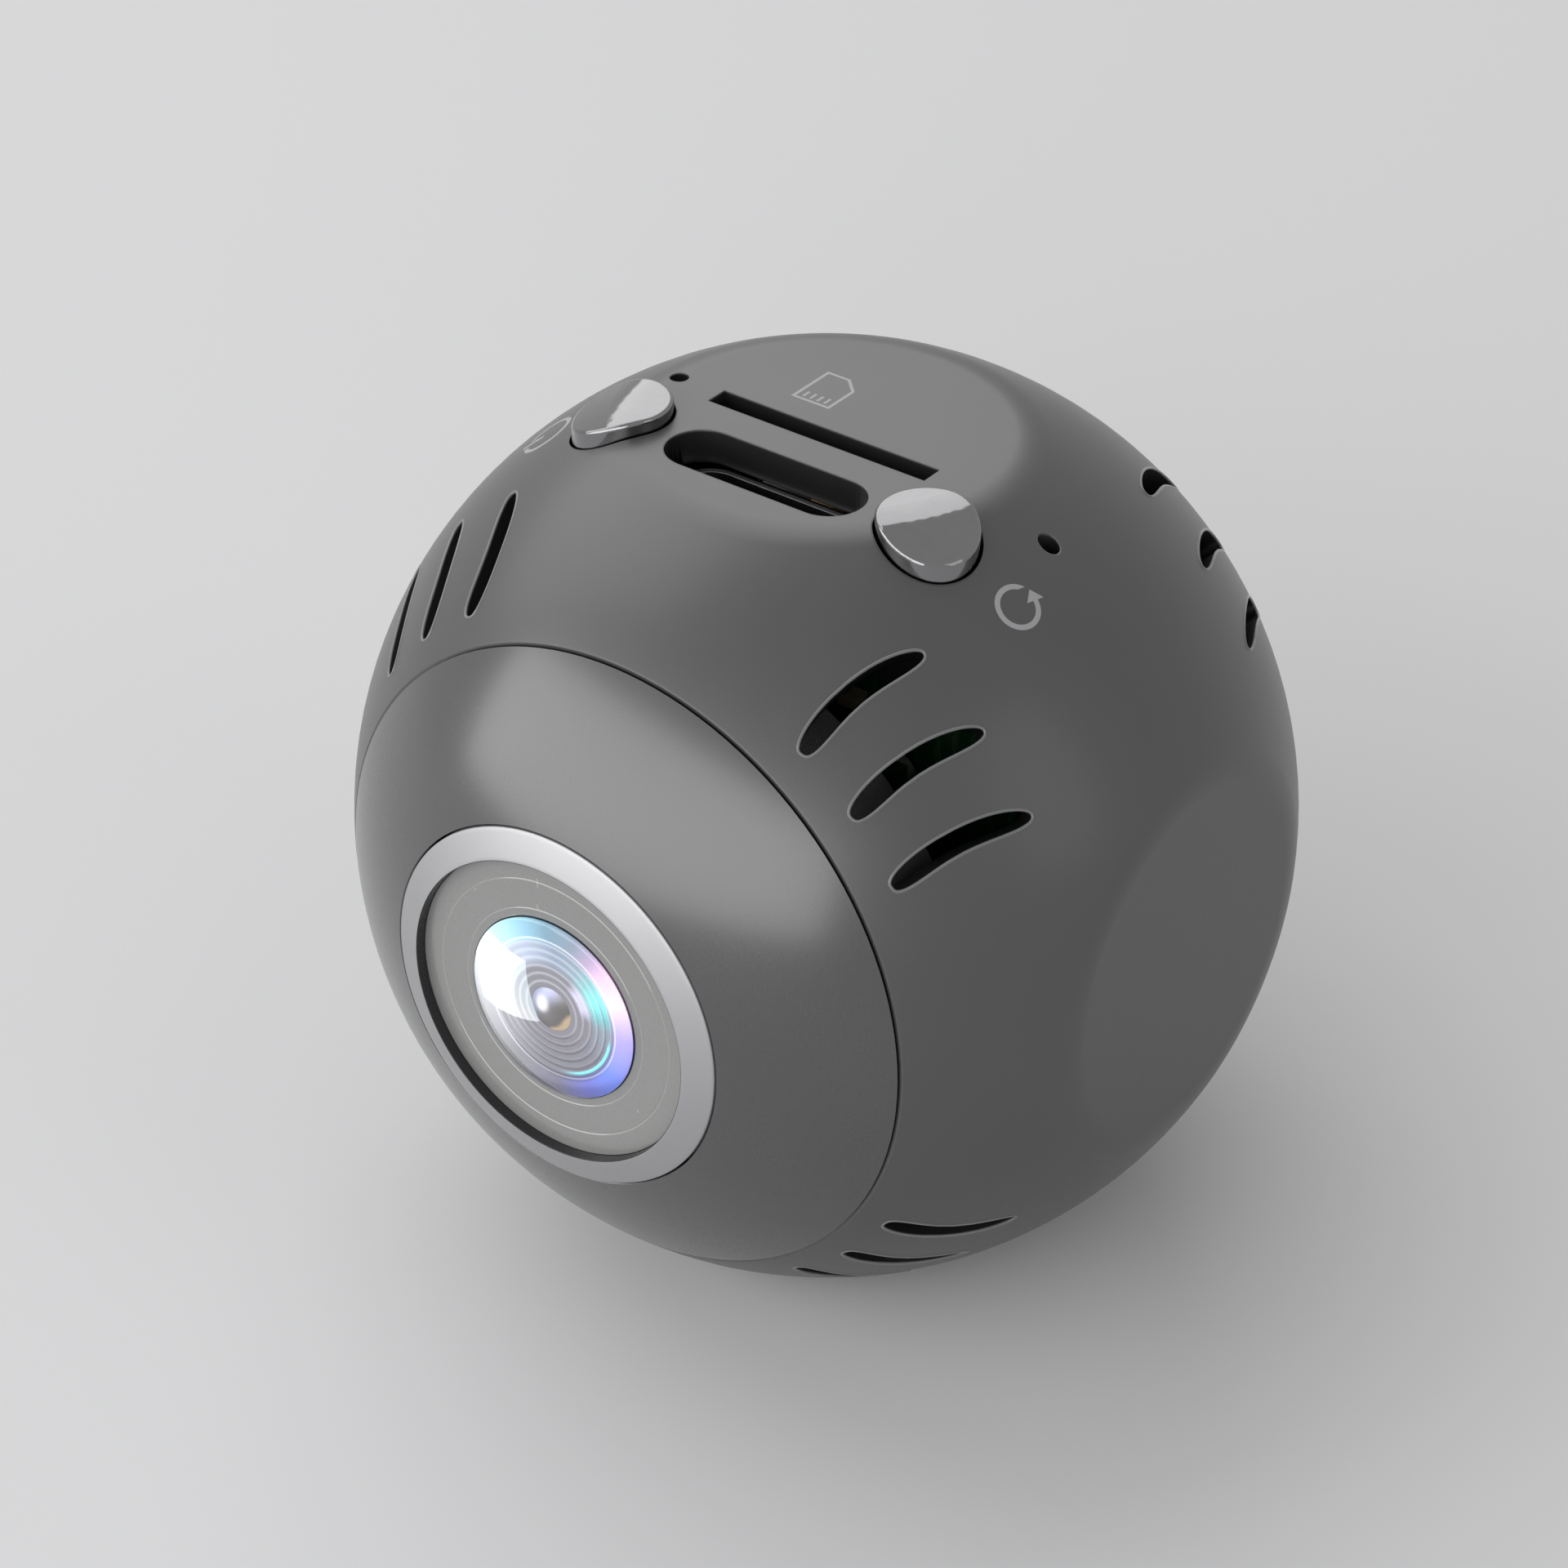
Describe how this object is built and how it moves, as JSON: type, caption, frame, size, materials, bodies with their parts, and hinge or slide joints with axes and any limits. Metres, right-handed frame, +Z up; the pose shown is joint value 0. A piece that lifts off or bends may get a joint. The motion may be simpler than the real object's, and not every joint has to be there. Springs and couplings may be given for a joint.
{
  "type": "panoramic security camera",
  "caption": "Small grey ball camera with flats to stand on, a wide lens in a silver ring, bowed vents, a charging port, a card slot and press buttons.",
  "frame": {"origin": "centre of the bottom flat, which the camera stands on", "axes": "+Z up to the flat with the ports, -Y out of the lens, +Y to the rear flat, +X to the right flat"},
  "size_m": [0.0384, 0.0395, 0.0389],
  "materials": {
    "shell_grey": "satin moulded",
    "bezel_silver": "fine satin",
    "face_grey": "fine grain under gloss",
    "lens_black": "matt black",
    "lens_glass": "coated",
    "filter_glass": "coated",
    "sensor_dark": "glass topped",
    "button_gloss": "high gloss",
    "screw_steel": "plain",
    "socket_steel": "pressed",
    "contact_gold": "gold plated",
    "black_plastic": "moulded",
    "board_green": "solder mask",
    "chip_beige": "fired",
    "sink_aluminium": "milled",
    "pad_grey": "soft",
    "foam_black": "foam",
    "boot_rubber": "moulded",
    "ribbon_amber": "film",
    "lamp_clear": "clear",
    "lamp_white": "plain",
    "plug_white": "moulded",
    "cell_silver": "foil",
    "wire_black": "insulated"
  },
  "bodies": {
    "housing": {"antenna": "contact_gold", "aperture_stop": "lens_black", "battery": "cell_silver", "battery_lead": "wire_black", "battery_pad": "foam_black", "battery_plug": "plug_white", "battery_socket": "plug_white", "battery_tray": "black_plastic", "board_connector": "black_plastic", "board_parts": "chip_beige", "board_screws": "screw_steel", "card_base": "black_plastic", "card_contacts": "contact_gold", "card_cover": "socket_steel", "cover_screws": "screw_steel", "front_cover": "shell_grey", "front_lens": "lens_glass", "heat_sink": "sink_aluminium", "image_sensor": "sensor_dark", "infrared_filter": "filter_glass", "inner_baffle": "lens_black", "lens_barrel": "lens_black", "lens_bezel": "bezel_silver", "lens_holder": "lens_black", "lens_lock_ring": "lens_black", "lens_screws": "screw_steel", "lens_trim": "face_grey", "light_pipe": "lamp_clear", "main_board": "board_green", "main_shell": "shell_grey", "memory_chip": "black_plastic", "microphone": "socket_steel", "microphone_boot": "boot_rubber", "middle_lens": "lens_glass", "power_switch": "black_plastic", "processor": "black_plastic", "rear_cover": "shell_grey", "rear_lens": "lens_glass", "reset_switch": "black_plastic", "sensor_board": "board_green", "sensor_connector": "black_plastic", "sensor_ribbon": "ribbon_amber", "status_led": "lamp_white", "thermal_pad": "pad_grey", "tray_screws": "screw_steel", "usb_contacts": "contact_gold", "usb_shell": "socket_steel", "usb_tongue": "black_plastic", "wireless_module": "socket_steel"},
    "power_button": {"power_button": "button_gloss", "power_plunger": "black_plastic"},
    "reset_button": {"reset_button": "button_gloss", "reset_plunger": "black_plastic"}
  },
  "joints": [
    {"name": "power_button_press", "type": "slide", "parent": "housing", "child": "power_button", "axis": [0, 0, -1], "range_m": [0, 0.00025], "stiffness_N_per_m": 6000},
    {"name": "reset_button_press", "type": "slide", "parent": "housing", "child": "reset_button", "axis": [0, 0, -1], "range_m": [0, 0.00025], "stiffness_N_per_m": 6000}
  ]
}
